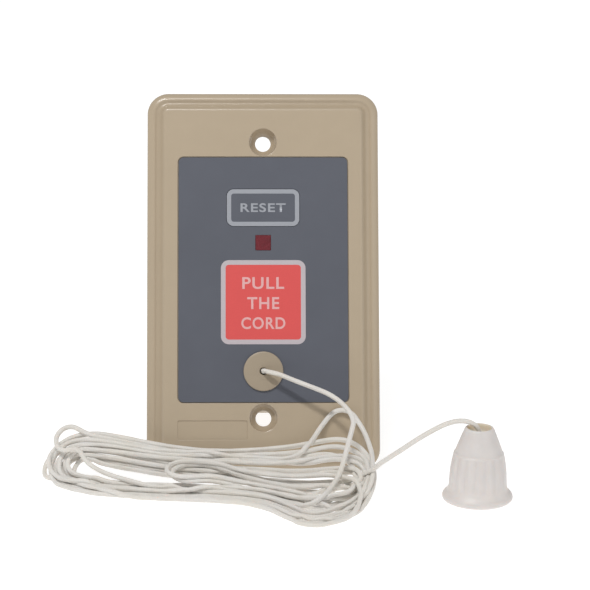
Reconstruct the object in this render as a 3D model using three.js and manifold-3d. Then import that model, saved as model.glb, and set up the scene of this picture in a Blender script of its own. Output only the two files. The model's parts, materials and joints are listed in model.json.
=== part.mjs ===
// Pull cord switch for a single-gang wall box, in millimetres, +Z up.
//
// Everything but the loose cord is drawn in the plate's own frame: X to the right, Z up along the
// plate (0 at its middle) and Y backwards (0 at the plate's back rim, the front face at -FACE).
// The whole station is then leaned back on its housing and set down on Z = 0.

import * as THREE from "three";
import { mergeVertices } from "three/addons/utils/BufferGeometryUtils.js";
import Module from "manifold-3d";

const wasm = await Module();
wasm.setup();

// ---------------------------------------------------------------- driving dimensions

const PLATE = { width: 69.85, height: 114.3, corner: 6.4, face: 6.5, wall: 2.5 };
const HOLE_SPACING = 83.34; // plate screws of a single-gang box
const HOLE = { radius: 2.35, sink: 4.2, depth: 3.3, boss: 5.2, back: 2.2 };
const LABEL = { width: 50.9, height: 74.1, corner: 1.6, recess: 0.6, thick: 0.4, under: 0.05 };
const PAD = { x: -15.2, z: -45.4, width: 20.7, height: 5.7, depth: 0.3 };

const KEY = { z: 21.7, width: 22.0, height: 11.4, corner: 2.2 };
const LENS = { z: 11.05, side: 4.6 };
const BUSH = { z: -27.8, flange: 5.95, front: 7.1, barrel: 4.1, rear: 0, cordHole: 1.1, bore: 2.6 };
const PULL_TRAVEL = 4;
const KEY_TRAVEL = 0.45;
const CONE_SLOPE = 0.25; // how far the microswitch button moves per millimetre of pull

const LEAN = THREE.MathUtils.degToRad(23);
const FOOT = 0.4; // chamfer of the plate's back rim, whose lower edge stands on the table
const HOUSING = { width: 46, depth: 50, wall: 2, flange: 1.2 };
HOUSING.height = PLATE.height - 2 * (HOUSING.depth + FOOT) * Math.tan(LEAN);
const FLANGE = { halfWidth: 30.4, front: 2.6, screwX: 27, screwZ: 28 };
const BOARD = { width: 40.4, height: 65.2, thick: 1.6, postX: 16.8, postZ: 29 };
const FRONT_BOARD = 10; // depth of its front face behind the plate's back rim
const REAR_BOARD = 33.6;

const CORD = { radius: 0.72, sides: 8 };
const BELL = { x: 62.0, y: -25.5, lean: THREE.MathUtils.degToRad(0.5) };

const GAP = 0.05; // between pieces that rest on each other
const ROUND = 24; // sides of a turned piece

// ---------------------------------------------------------------- materials

const COLOURS = {
  beige: 0xb4a58c,
  label: 0x62656e,
  lens: 0x7c3440,
  steel: 0xb8babd,
  brass: 0xc8a85a,
  board: 0x2f6b45,
  black: 0x2a2a2c,
  white: 0xe0dcd4,
  blue: 0x2c5f9e,
};
const materials = Object.fromEntries(
  Object.entries(COLOURS).map(([name, color]) => [
    name,
    new THREE.MeshStandardMaterial({ name, color, roughness: 0.6 }),
  ]),
);

// ---------------------------------------------------------------- solids

// A three.js geometry as a manifold-3d solid.
function solid(geometry) {
  const plain = geometry.index ? geometry.toNonIndexed() : geometry.clone();
  plain.deleteAttribute("normal");
  plain.deleteAttribute("uv");
  const merged = mergeVertices(plain, 1e-4);
  return new wasm.Manifold(
    new wasm.Mesh({
      numProp: 3,
      vertProperties: merged.attributes.position.array,
      triVerts: new Uint32Array(merged.index.array),
    }),
  );
}

// A box from its middle and its size.
function box(x, y, z, width, depth, height) {
  return solid(new THREE.BoxGeometry(width, depth, height).translate(x, y, z));
}

// A box given by how far its faces lie in front of the plate's back rim (back and front).
function slab(x, z, width, height, back, front) {
  return box(x, -(back + front) / 2, z, width, front - back, height);
}

// A rounded rectangle as a three.js shape in the X-Z plane, its second coordinate being Z.
function roundedRectangle(width, height, radius) {
  const w = width / 2;
  const h = height / 2;
  const shape = new THREE.Shape();
  shape.moveTo(-w + radius, -h);
  shape.lineTo(w - radius, -h);
  shape.absarc(w - radius, -h + radius, radius, -Math.PI / 2, 0);
  shape.lineTo(w, h - radius);
  shape.absarc(w - radius, h - radius, radius, 0, Math.PI / 2);
  shape.lineTo(-w + radius, h);
  shape.absarc(-w + radius, h - radius, radius, Math.PI / 2, Math.PI);
  shape.lineTo(-w, -h + radius);
  shape.absarc(-w + radius, -h + radius, radius, Math.PI, Math.PI * 1.5);
  return shape;
}

// A rounded block standing from back to front in front of the plate's rim.
function roundedSlab(x, z, width, height, radius, back, front) {
  const geometry = new THREE.ExtrudeGeometry(roundedRectangle(width, height, radius), {
    depth: front - back,
    bevelEnabled: false,
    curveSegments: 5,
  });
  return solid(geometry.rotateX(Math.PI / 2).translate(x, -back, z));
}

// A turned piece on an axis square to the plate. Its profile is a list of [radius, front].
function turned(x, z, profile, sides = ROUND) {
  const points = profile.map(([radius, front]) => new THREE.Vector2(radius, front));
  const geometry = new THREE.LatheGeometry(points, sides);
  return solid(geometry.rotateX(Math.PI).translate(x, 0, z));
}

function disc(x, z, radius, back, front, sides = ROUND) {
  return turned(x, z, [[0, back], [radius, back], [radius, front], [0, front]], sides);
}

function addAll(solids) {
  return solids.reduce((sum, next) => sum.add(next));
}

function cutAll(body, cuts) {
  return cuts.reduce((rest, next) => rest.subtract(next), body);
}

// The two or four mirrored places of a corner fastener.
function corners(x, z) {
  return [[-x, -z], [x, -z], [x, z], [-x, z]];
}

// A manifold-3d solid as a named mesh.
function piece(name, body, material) {
  const mesh = body.getMesh();
  const geometry = new THREE.BufferGeometry();
  geometry.setAttribute("position", new THREE.BufferAttribute(mesh.vertProperties, 3));
  geometry.setIndex(new THREE.BufferAttribute(mesh.triVerts, 1));
  geometry.computeVertexNormals();
  const object = new THREE.Mesh(geometry, materials[material]);
  object.name = name;
  return object;
}

// ---------------------------------------------------------------- the plate

// Edge profile of the plate, from the back rim round to the front face: [inset, front].
const PLATE_EDGE = [
  [6.0, 4.0],
  [4.6, 2.8],
  [2.2, 1.5],
  [2.2, 0],
  [FOOT, 0],
  [0, FOOT],
  [0, 3.0],
  [0.3, 3.6],
  [0.9, 4.1],
  [1.6, 4.42],
  [2.15, 4.5],
  [2.5, 4.35],
  [2.9, 4.15],
  [3.35, 4.2],
  [3.8, 4.45],
  [4.2, 4.95],
  [4.6, 5.6],
  [4.95, 6.12],
  [5.3, 6.4],
  [5.8, 6.5],
];
const CORNER_STEPS = 6;

// The points of one rounded-rectangle ring of the plate.
function plateRing(inset, front) {
  const radius = Math.max(PLATE.corner - inset, 0.4);
  const w = PLATE.width / 2 - inset - radius;
  const h = PLATE.height / 2 - inset - radius;
  const centres = [[w, -h], [w, h], [-w, h], [-w, -h]];
  const ring = [];
  centres.forEach(([x, z], corner) => {
    for (let i = 0; i <= CORNER_STEPS; i++) {
      const angle = ((corner - 1 + i / CORNER_STEPS) * Math.PI) / 2;
      ring.push(x + radius * Math.cos(angle), -front, z + radius * Math.sin(angle));
    }
  });
  return ring;
}

// The plate's shell: rings along its edge profile, closed by a flat fan at each end.
function plateShell() {
  const count = 4 * (CORNER_STEPS + 1);
  const vertices = PLATE_EDGE.flatMap(([inset, front]) => plateRing(inset, front));
  const faces = [];
  for (let level = 0; level + 1 < PLATE_EDGE.length; level++) {
    for (let i = 0; i < count; i++) {
      const a = level * count + i;
      const b = level * count + ((i + 1) % count);
      faces.push(a, b, b + count, a, b + count, a + count);
    }
  }
  const last = (PLATE_EDGE.length - 1) * count;
  for (let i = 1; i + 1 < count; i++) {
    faces.push(0, i + 1, i);
    faces.push(last, last + i, last + i + 1);
  }
  const geometry = new THREE.BufferGeometry();
  geometry.setAttribute("position", new THREE.Float32BufferAttribute(vertices, 3));
  geometry.setIndex(faces);
  return solid(geometry);
}

function wallPlate() {
  const floor = PLATE.face - LABEL.recess;
  const inner = PLATE.face - PLATE.wall;
  const posts = corners(BOARD.postX, BOARD.postZ).map(([x, z]) =>
    disc(x, z, 2.5, -FRONT_BOARD + GAP, inner + 0.5, 16),
  );
  const bosses = corners(FLANGE.screwX, FLANGE.screwZ).map(([x, z]) =>
    disc(x, z, 2.3, FLANGE.front + GAP, inner + 0.5, 16),
  );
  const sinks = [-HOLE_SPACING / 2, HOLE_SPACING / 2].map((z) =>
    disc(0, z, HOLE.boss, HOLE.back, inner + 0.5),
  );
  const cuts = [
    roundedSlab(0, 0, LABEL.width + 0.5, LABEL.height + 0.5, LABEL.corner, floor, 9),
    roundedSlab(PAD.x, PAD.z, PAD.width, PAD.height, 0.3, PLATE.face - PAD.depth, 9),
    roundedSlab(0, KEY.z, KEY.width + 0.6, KEY.height + 0.6, KEY.corner + 0.3, 3, 8),
    slab(0, LENS.z, LENS.side + 0.4, LENS.side + 0.4, 3, 8),
    disc(0, BUSH.z, BUSH.barrel + 0.3, 3, 8),
  ];
  for (const z of [-HOLE_SPACING / 2, HOLE_SPACING / 2]) {
    const profile = [
      [0, HOLE.back - 1],
      [HOLE.radius, HOLE.back - 1],
      [HOLE.radius, PLATE.face - HOLE.depth],
      [3.3, PLATE.face - HOLE.depth + 0.5],
      [3.9, PLATE.face - HOLE.depth / 2],
      [HOLE.sink, PLATE.face - 0.1],
      [HOLE.sink + 0.6, PLATE.face + 0.5],
      [0, PLATE.face + 0.5],
    ];
    cuts.push(turned(0, z, profile, 32));
  }
  for (const [x, z] of corners(BOARD.postX, BOARD.postZ)) {
    cuts.push(disc(x, z, 1.2, -FRONT_BOARD - 1, -1, 12));
  }
  for (const [x, z] of corners(FLANGE.screwX, FLANGE.screwZ)) {
    cuts.push(disc(x, z, 0.95, 2, 5.1, 12));
  }
  return cutAll(addAll([plateShell(), ...posts, ...bosses, ...sinks]), cuts);
}

function labelOverlay() {
  const back = PLATE.face - LABEL.recess + LABEL.under;
  const front = back + LABEL.thick;
  const sheet = roundedSlab(0, 0, LABEL.width, LABEL.height, LABEL.corner, back, front);
  return cutAll(sheet, [
    roundedSlab(0, KEY.z, KEY.width + 0.4, KEY.height + 0.4, KEY.corner + 0.2, 4, 8),
    slab(0, LENS.z, LENS.side + 0.3, LENS.side + 0.3, 4, 8),
    disc(0, BUSH.z, BUSH.barrel + 0.3, 4, 8),
  ]);
}

// ---------------------------------------------------------------- reset key and indicator

const LABEL_TOP = PLATE.face - LABEL.recess + LABEL.under + LABEL.thick;
const BEHIND_WALL = PLATE.face - PLATE.wall - 0.06; // front of a flange held behind the face
const KEY_STEM_END = -3.35;
const LIGHT_PIPE_END = -4.25;

function resetKey() {
  return addAll([
    roundedSlab(0, KEY.z, KEY.width, KEY.height, KEY.corner, 3, LABEL_TOP),
    roundedSlab(0, KEY.z, KEY.width + 3, KEY.height + 2.2, KEY.corner, 2.6, BEHIND_WALL),
    disc(0, KEY.z, 2, KEY_STEM_END, 3, 16),
  ]);
}

function indicatorLens() {
  return addAll([
    slab(0, LENS.z, LENS.side, LENS.side, 3, LABEL_TOP),
    slab(0, LENS.z, LENS.side + 1.5, LENS.side + 1.5, 2.7, BEHIND_WALL),
    disc(0, LENS.z, 1.9, LIGHT_PIPE_END, 3, 16),
  ]);
}

const SWITCH_BUTTON_BACK = -7.6;

function resetSwitchBody() {
  const body = slab(0, KEY.z, 6, 6, -FRONT_BOARD + GAP, -6.45);
  const wellBottom = SWITCH_BUTTON_BACK - KEY_TRAVEL - 0.25;
  return body.subtract(disc(0, KEY.z, 1.8, wellBottom, -6, 16));
}

function resetSwitchButton() {
  return disc(0, KEY.z, 1.6, SWITCH_BUTTON_BACK, KEY_STEM_END - 0.15, 16);
}

function indicatorLed() {
  const base = -FRONT_BOARD + GAP;
  const tip = LIGHT_PIPE_END - 0.35;
  const profile = [
    [0, base],
    [1.9, base],
    [1.9, base + 1],
    [1.5, base + 1],
    [1.5, tip - 1.5],
    [1.3, tip - 0.75],
    [0.75, tip - 0.2],
    [0, tip],
  ];
  return turned(0, LENS.z, profile, 16);
}

// ---------------------------------------------------------------- cord bush and pull mechanism

const PLUNGER = {
  front: 0.6,
  shaft: 2.3,
  hole: 1.05,
  collar: 3.4,
  collarFront: -15.05,
  collarBack: -16.6,
  neck: 1.7,
  coneFront: -18,
  coneBack: -24.8,
  back: -28.8,
  pocket: 2.4,
  pocketFront: -25,
};
const SPRING = { coil: 2.95, wire: 0.38, front: -0.5, back: -14.55, turns: 7 };
const BARREL = { inner: 3.65, outer: 4.6, front: -11.65, back: -30.5 };
const SWITCH = { halfWidth: 2.9, face: 3.7, height: 6.5, front: -11.65, back: -24.7 };
const BUTTON = { front: -19.3, back: -20.7, halfWidth: 1.5, inside: 1.5 };
const BUTTON_WELL = BUTTON.inside + CONE_SLOPE * PULL_TRAVEL + 0.1;

function cordBush() {
  return turned(0, BUSH.z, [
    [BUSH.bore, BUSH.rear],
    [BUSH.barrel, BUSH.rear],
    [BUSH.barrel, LABEL_TOP + GAP],
    [BUSH.flange, LABEL_TOP + GAP],
    [BUSH.flange, BUSH.front - 0.25],
    [BUSH.flange - 0.25, BUSH.front],
    [BUSH.cordHole, BUSH.front],
    [BUSH.cordHole, 5.2],
    [BUSH.bore, 5.2],
    [BUSH.bore, BUSH.rear],
  ], 32);
}

function bushNut() {
  const acrossFlats = 11;
  const corner = acrossFlats / Math.sqrt(3);
  return hexagon(0, BUSH.z, corner, 1.5, BEHIND_WALL).subtract(
    disc(0, BUSH.z, BUSH.barrel + 0.15, 1, 5),
  );
}

function pullPlunger() {
  const p = PLUNGER;
  return turned(0, BUSH.z, [
    [p.hole, p.back + 3.8],
    [p.pocket, p.pocketFront],
    [p.pocket, p.back],
    [p.collar, p.back],
    [p.collar, p.coneBack],
    [p.neck, p.coneFront],
    [p.neck, p.collarBack],
    [p.collar, p.collarBack],
    [p.collar, p.collarFront],
    [p.shaft, p.collarFront],
    [p.shaft, p.front],
    [p.hole, p.front],
    [p.hole, p.back + 3.8],
  ]);
}

// A coil spring round the plunger's shaft.
class SpringPath extends THREE.Curve {
  getPoint(t) {
    const angle = t * SPRING.turns * 2 * Math.PI;
    return new THREE.Vector3(
      SPRING.coil * Math.cos(angle),
      -(SPRING.back + t * (SPRING.front - SPRING.back)),
      BUSH.z + SPRING.coil * Math.sin(angle),
    );
  }
}

function returnSpring() {
  return sweep(new SpringPath(), SPRING.wire, SPRING.turns * 12, 6);
}

function plungerBarrel() {
  const b = BARREL;
  const tube = turned(0, BUSH.z, [
    [b.inner, b.back],
    [b.outer, b.back],
    [b.outer, b.front],
    [b.inner, b.front],
    [b.inner, b.back],
  ]);
  const window = slab(0, BUSH.z + 7, 6.4, 10, -25.2, -11);
  return tube.subtract(window);
}

function microswitchBody() {
  const low = BUSH.z + SWITCH.face;
  const middle = low + SWITCH.height / 2;
  const body = slab(0, middle, 2 * SWITCH.halfWidth, SWITCH.height, SWITCH.back, SWITCH.front);
  const pocket = slab(0, low, 3.2, 2 * BUTTON_WELL, BUTTON.back - 0.1, BUTTON.front + 0.1);
  return body.subtract(pocket);
}

function microswitchButton() {
  const cone = PLUNGER.neck + CONE_SLOPE * (PLUNGER.coneFront - BUTTON.back);
  const low = BUSH.z + cone + 0.06;
  const high = BUSH.z + SWITCH.face + BUTTON.inside;
  const width = 2 * BUTTON.halfWidth;
  return slab(0, (low + high) / 2, width, high - low, BUTTON.back, BUTTON.front);
}

function innerCord() {
  return disc(0, BUSH.z, CORD.radius, -24.85, 3, 8);
}

function innerKnot() {
  const ball = new THREE.SphereGeometry(2, 12, 8);
  return solid(ball.translate(0, 27.2, BUSH.z));
}

// ---------------------------------------------------------------- boards and their parts

function hexagon(x, z, corner, back, front) {
  const shape = new THREE.Shape();
  for (let i = 0; i < 6; i++) {
    const angle = (i * Math.PI) / 3;
    shape[i ? "lineTo" : "moveTo"](corner * Math.cos(angle), corner * Math.sin(angle));
  }
  const options = { depth: front - back, bevelEnabled: false };
  const geometry = new THREE.ExtrudeGeometry(shape, options);
  return solid(geometry.rotateX(Math.PI / 2).translate(x, -back, z));
}

function circuitBoard(front, extraHoles) {
  const board = slab(0, 0, BOARD.width, BOARD.height, -front - BOARD.thick, -front);
  const holes = corners(BOARD.postX, BOARD.postZ).map(([x, z]) =>
    disc(x, z, 1.3, -front - 3, -front + 1, 12),
  );
  return cutAll(board, [...holes, ...extraHoles]);
}

const SPACER_FRONT = -FRONT_BOARD - BOARD.thick - GAP;
const SPACER_BACK = -REAR_BOARD + GAP;
const REAR_FACE = -REAR_BOARD - BOARD.thick - GAP;

function boardSpacer(x, z) {
  const body = hexagon(x, z, 2.85, SPACER_BACK, SPACER_FRONT);
  const stud = disc(x, z, 1, SPACER_FRONT - 1, -4, 12);
  return body.add(stud).subtract(disc(x, z, 1.05, SPACER_BACK - 1, -27, 12));
}

// A pan-head screw whose head looks backwards, its shank pointing forwards.
function screw(x, z, underHead, headRadius, headHeight, shankRadius, length) {
  const top = underHead - headHeight;
  const profile = [
    [0, top],
    [headRadius * 0.75, top],
    [headRadius, top + headHeight * 0.4],
    [headRadius, underHead],
    [shankRadius, underHead],
    [shankRadius, underHead + length - 0.5],
    [0, underHead + length],
  ];
  const slot = slab(x, z, headRadius * 1.5, 0.5, top - 1, top + headHeight * 0.45);
  return turned(x, z, profile, 16).subtract(slot);
}

function boardConnector() {
  return slab(0, -5, 15.2, 5, SPACER_BACK, SPACER_FRONT);
}

function latchRelay() {
  return roundedSlab(-8.5, 13, 12.5, 19, 0.8, SPACER_BACK, -18.5);
}

function smoothingCapacitor() {
  const front = -21.5;
  return turned(10, 14, [
    [0, SPACER_BACK],
    [4, SPACER_BACK],
    [4, front - 0.4],
    [3.6, front],
    [0, front],
  ]);
}

function controlChip() {
  return slab(-9, 8, 9.9, 3.9, SPACER_FRONT - 1.6, SPACER_FRONT);
}

const TERMINAL = { z: -14, pitch: 5.08, width: 20.3, height: 8, back: -49.3 };
const TERMINAL_X = [-1.5, -0.5, 0.5, 1.5].map((step) => step * TERMINAL.pitch);

function terminalBlock() {
  const t = TERMINAL;
  const body = slab(0, t.z, t.width, t.height, t.back, REAR_FACE);
  const cuts = TERMINAL_X.flatMap((x) => [
    disc(x, t.z + 1.7, 1.9, t.back - 1, t.back + 5, 16),
    slab(x, t.z - 2.1, 3.2, 2.2, t.back - 1, t.back + 6),
  ]);
  return cutAll(body, cuts);
}

function terminalScrew(x) {
  const head = TERMINAL.back + 2.2;
  const body = disc(x, TERMINAL.z + 1.7, 1.6, TERMINAL.back + 1.2, TERMINAL.back + 4.9, 16);
  return body.subtract(slab(x, TERMINAL.z + 1.7, 4, 0.5, TERMINAL.back, head - 0.3));
}

function backHousing() {
  const h = HOUSING;
  const outer = roundedSlab(0, 0, h.width, h.height, 2.5, -h.depth, FLANGE.front);
  const flangeBack = FLANGE.front - h.flange;
  const flange = slab(0, 0, 2 * FLANGE.halfWidth, h.height, flangeBack, FLANGE.front);
  const room = [h.width - 2 * h.wall, h.height - 2 * h.wall];
  const cuts = [
    roundedSlab(0, 0, room[0], room[1], 1.2, -h.depth + h.wall, FLANGE.front + 1),
    slab(0, TERMINAL.z, TERMINAL.width + 0.9, TERMINAL.height + 0.9, -h.depth - 1, -h.depth + 3),
    slab(0, 12, 32, 22, -h.depth - 1, -h.depth + 0.3),
  ];
  for (const [x, z] of corners(FLANGE.screwX, FLANGE.screwZ)) {
    cuts.push(disc(x, z, 1.15, 0, 4, 12));
  }
  return cutAll(outer.add(flange), cuts);
}

// ---------------------------------------------------------------- cord and knob, on the table

// A tube of even thickness along a curve.
function sweep(path, radius, steps, sides) {
  const shape = new THREE.Shape();
  for (let i = 0; i < sides; i++) {
    const angle = (i / sides) * 2 * Math.PI;
    shape[i ? "lineTo" : "moveTo"](radius * Math.cos(angle), radius * Math.sin(angle));
  }
  return solid(new THREE.ExtrudeGeometry(shape, { steps, extrudePath: path }));
}

// The cord's free stretches, as points that it passes through. Y = 0 is the plate's lower edge.
const LEAD = [
  [0.1, 4.4, 30.0],
  [1.4, 2.9, 30.1],
  [4.9, 1.2, 29.7],
  [11.0, -1.2, 27.9],
  [17.2, -3.4, 26.1],
  [20.7, -5.1, 24.7],
  [23.6, -7.1, 22.9],
  [25.6, -9.1, 20.8],
  [26.3, -11.0, 18.6],
  [25.6, -12.8, 16.6],
  [25.0, -14.0, 15.2],
];
const TAIL = [
  [33.9, -22.2, 10.1],
  [38.2, -22.5, 13.1],
  [43.0, -23.1, 16.7],
  [48.0, -23.8, 20.2],
  [52.4, -24.4, 22.7],
  [56.0, -24.9, 23.9],
  [59.2, -25.3, 23.7],
  [61.3, -25.5, 22.4],
  [62.1, -25.5, 20.6],
  [62.15, -25.5, 18.8],
];

function cordStretch(points) {
  const path = new THREE.CatmullRomCurve3(points.map((p) => new THREE.Vector3(...p)));
  return sweep(path, CORD.radius, Math.round(path.getLength() / (4 * CORD.radius)), CORD.sides);
}

// Outline of the loose hank on the table, seen from above: a smooth loop through these points.
const HANK = [
  [-60, 0],
  [-66, -5],
  [-62, -14],
  [-50, -22],
  [-35, -26],
  [-10, -28],
  [0, -33],
  [8, -43],
  [16, -49],
  [25, -46],
  [31, -36],
  [33, -24],
  [33, -13],
  [28, -6],
  [15, -5],
  [-10, -5],
  [-32, -5.5],
  [-46, -1],
];
const HANK_HEIGHT = 14;
const HANK_BEVEL = 3;

function cordHank() {
  const points = HANK.map(([x, y]) => new THREE.Vector3(x, y, 0));
  const outline = new THREE.CatmullRomCurve3(points, true).getPoints(54).slice(1);
  const shape = new THREE.Shape(outline.map((p) => new THREE.Vector2(p.x, p.y)));
  const geometry = new THREE.ExtrudeGeometry(shape, {
    depth: HANK_HEIGHT - 2 * HANK_BEVEL,
    bevelThickness: HANK_BEVEL,
    bevelSize: HANK_BEVEL,
    bevelOffset: -HANK_BEVEL,
    bevelSegments: 3,
  });
  return solid(geometry.translate(0, 0, HANK_BEVEL + GAP));
}

// The knob's wall, as [radius, height]: outside up from the foot, then down its inside.
const BELL_WALL = [
  [8.6, 0],
  [9.8, 0.3],
  [10.3, 1.0],
  [10.0, 2.0],
  [9.1, 3.0],
  [8.5, 4.6],
  [8.4, 6.5],
  [8.2, 9.3],
  [7.8, 12],
  [7.25, 14.5],
  [6.1, 17.1],
  [4.7, 20.7],
  [3.8, 22.1],
  [3.45, 22],
  [3.25, 20],
  [1.25, 19.5],
  [1.25, 18.3],
  [4.4, 18],
  [5.9, 14.6],
  [6.8, 10],
  [6.95, 5.5],
  [7.6, 4.2],
  [8.7, 2],
  [8.2, 0],
  [8.6, 0],
];

// Carries a piece drawn round +Z to the knob's place, leaning a little to the right.
function atBell(geometry) {
  const rise = BELL_WALL[0][0] * Math.sin(BELL.lean);
  return solid(geometry.rotateY(BELL.lean).translate(BELL.x, BELL.y, rise));
}

function pullBell() {
  const points = BELL_WALL.map(([radius, height]) => new THREE.Vector2(radius, height));
  return atBell(new THREE.LatheGeometry(points, 36).rotateX(Math.PI / 2));
}

function bellKnot() {
  return atBell(new THREE.SphereGeometry(2.1, 12, 8).translate(0, 0, 16.05));
}

// ---------------------------------------------------------------- assembly

const station = new THREE.Group();
station.name = "station";
station.rotation.x = -LEAN;
station.position.y = (PLATE.height / 2) * Math.sin(LEAN);
station.position.z = (PLATE.height / 2) * Math.cos(LEAN) - FOOT * Math.sin(LEAN);

const plungerHole = disc(0, BUSH.z, 3.9, -FRONT_BOARD - 3, -FRONT_BOARD + 1);
station.add(
  piece("wall_plate", wallPlate(), "beige"),
  piece("label_overlay", labelOverlay(), "label"),
  piece("reset_key", resetKey(), "label"),
  piece("indicator_lens", indicatorLens(), "lens"),
  piece("cord_bush", cordBush(), "beige"),
  piece("bush_nut", bushNut(), "brass"),
  piece("pull_plunger", pullPlunger(), "white"),
  piece("return_spring", returnSpring(), "steel"),
  piece("plunger_barrel", plungerBarrel(), "black"),
  piece("inner_cord", innerCord(), "white"),
  piece("inner_knot", innerKnot(), "white"),
  piece("microswitch_body", microswitchBody(), "black"),
  piece("microswitch_button", microswitchButton(), "lens"),
  piece("front_board", circuitBoard(FRONT_BOARD, [plungerHole]), "board"),
  piece("reset_switch_body", resetSwitchBody(), "black"),
  piece("reset_switch_button", resetSwitchButton(), "black"),
  piece("indicator_led", indicatorLed(), "lens"),
  piece("rear_board", circuitBoard(REAR_BOARD, []), "board"),
  piece("board_connector", boardConnector(), "black"),
  piece("latch_relay", latchRelay(), "blue"),
  piece("smoothing_capacitor", smoothingCapacitor(), "black"),
  piece("control_chip", controlChip(), "black"),
  piece("terminal_block", terminalBlock(), "board"),
  piece("back_housing", backHousing(), "beige"),
);
corners(BOARD.postX, BOARD.postZ).forEach(([x, z], i) => {
  station.add(piece(`board_spacer_${i + 1}`, boardSpacer(x, z), "brass"));
  station.add(piece(`board_screw_${i + 1}`, screw(x, z, REAR_FACE, 1.9, 1.3, 0.85, 7), "steel"));
});
corners(FLANGE.screwX, FLANGE.screwZ).forEach(([x, z], i) => {
  const underHead = FLANGE.front - HOUSING.flange - GAP;
  station.add(piece(`housing_screw_${i + 1}`, screw(x, z, underHead, 1.9, 1.1, 0.8, 3.5), "steel"));
});
TERMINAL_X.forEach((x, i) => {
  station.add(piece(`terminal_screw_${i + 1}`, terminalScrew(x), "steel"));
});

const part = new THREE.Group();
part.name = "pull_cord_switch";
part.add(
  station,
  piece("cord_lead", cordStretch(LEAD), "white"),
  piece("cord_hank", cordHank(), "white"),
  piece("cord_tail", cordStretch(TAIL), "white"),
  piece("pull_bell", pullBell(), "white"),
  piece("bell_knot", bellKnot(), "white"),
);

// The origin lies under the middle of the station, halfway from its plate to its housing.
part.updateMatrixWorld(true);
const extent = new THREE.Box3().setFromObject(station, true);
part.position.y = -(extent.min.y + extent.max.y) / 2;

export default part;
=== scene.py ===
# A pull cord switch that leans back on its housing, its spare cord in a loose hank before it.
# Everything is in metres. A place on the plate is x to the right, y up the plate from its middle
# and z outwards from its back rim. A place on the cord is in the frame's own axes, but its y is
# counted from the plate's foot.

import json
import math

import bmesh
import bpy
import numpy as np
from mathutils import Matrix, Vector


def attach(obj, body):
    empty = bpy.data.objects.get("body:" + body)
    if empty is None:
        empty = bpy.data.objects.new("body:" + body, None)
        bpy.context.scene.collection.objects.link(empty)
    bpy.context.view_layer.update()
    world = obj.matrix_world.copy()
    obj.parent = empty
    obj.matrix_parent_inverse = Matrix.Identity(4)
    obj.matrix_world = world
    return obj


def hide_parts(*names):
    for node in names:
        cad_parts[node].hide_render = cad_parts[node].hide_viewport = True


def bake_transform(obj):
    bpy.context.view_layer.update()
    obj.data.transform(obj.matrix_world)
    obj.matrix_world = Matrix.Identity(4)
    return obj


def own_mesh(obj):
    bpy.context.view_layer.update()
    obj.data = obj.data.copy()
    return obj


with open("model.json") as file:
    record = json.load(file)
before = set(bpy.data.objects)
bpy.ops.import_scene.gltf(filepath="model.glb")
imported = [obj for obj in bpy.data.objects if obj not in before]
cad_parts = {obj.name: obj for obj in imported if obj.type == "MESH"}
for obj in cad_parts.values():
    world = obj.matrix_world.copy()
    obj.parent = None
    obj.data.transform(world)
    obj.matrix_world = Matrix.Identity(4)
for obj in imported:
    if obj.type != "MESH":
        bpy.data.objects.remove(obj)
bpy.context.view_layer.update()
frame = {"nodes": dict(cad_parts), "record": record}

MM = 0.001

# ---------------- places, from the frame

RIM = next(mount for mount in frame["record"]["mounts"] if mount["name"] == "plate_rim")
RIM_UP = 55.85 * MM
OUT = -Vector(RIM["axis"])
UP = OUT.cross(Vector((1, 0, 0)))
MIDDLE = Vector(RIM["pos_m"]) - RIM_UP * UP
PLATE = Matrix.Translation(MIDDLE) @ Matrix(((1, 0, 0), UP, OUT)).transposed().to_4x4()
LEAN = math.atan2(UP.y, UP.z)

PLATE_HALF = (34.925 * MM, 57.15 * MM)
PLATE_CORNER = 6.4 * MM
FOOT = PLATE @ Vector((0, -PLATE_HALF[1], 0))

# ---------------- sizes

HOLE_UP = 41.67 * MM
LABEL_HALF = (25.45 * MM, 37.05 * MM)
LABEL_CORNER = 1.6 * MM
LABEL_TOP = 6.35 * MM
PAD = (-15.2 * MM, -45.4 * MM)
PAD_HALF = (10.35 * MM, 2.85 * MM)
KEY_UP = 21.7 * MM
KEY_HALF = (11.0 * MM, 5.7 * MM)
LENS_UP = 11.05 * MM
LENS_HALF = 2.3 * MM
SIGN_UP = -6.95 * MM
SIGN_HALF = 12.7 * MM
BUSH_UP = -27.8 * MM
PRINT = 0.03 * MM
SUNK = 0.02 * MM  # how far the print reaches into the film under it

CORD_RADIUS = 0.72 * MM
BELL_FOOT = Vector((62.0 * MM, FOOT.y - 25.5 * MM, 0.075 * MM))
BELL_LEAN = math.radians(0.5)
KNOT_UP = 16.05 * MM


def on_plate(x, y, z=0.0):
    return PLATE @ Vector((x, y, z))


# ---------------- camera


def make_camera():
    """Looks down on the plate by 16 degrees from far off, as a product photograph does."""
    azimuth, elevation, roll = (math.radians(d) for d in (-1.374, 16, 0.331))
    distance = 816.35 * MM
    target = Vector((9.41 * MM, FOOT.y + 10 * MM, 51.83 * MM))
    level = math.cos(elevation)
    back = Vector((math.sin(azimuth) * level, -math.cos(azimuth) * level, math.sin(elevation)))
    side = (-back).cross(Vector((0, 0, 1))).normalized()
    top = back.cross(side)
    right = side * math.cos(roll) + top * math.sin(roll)
    above = top * math.cos(roll) - side * math.sin(roll)
    data = bpy.data.cameras.new("camera")
    data.lens = 167.01
    data.sensor_width = 36
    data.clip_start = 0.01
    camera = bpy.data.objects.new("camera", data)
    turn = Matrix((right, above, back)).transposed().to_4x4()
    camera.matrix_world = Matrix.Translation(target + back * distance) @ turn
    bpy.context.scene.collection.objects.link(camera)
    bpy.context.scene.camera = camera


# ---------------- shader nodes


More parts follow.
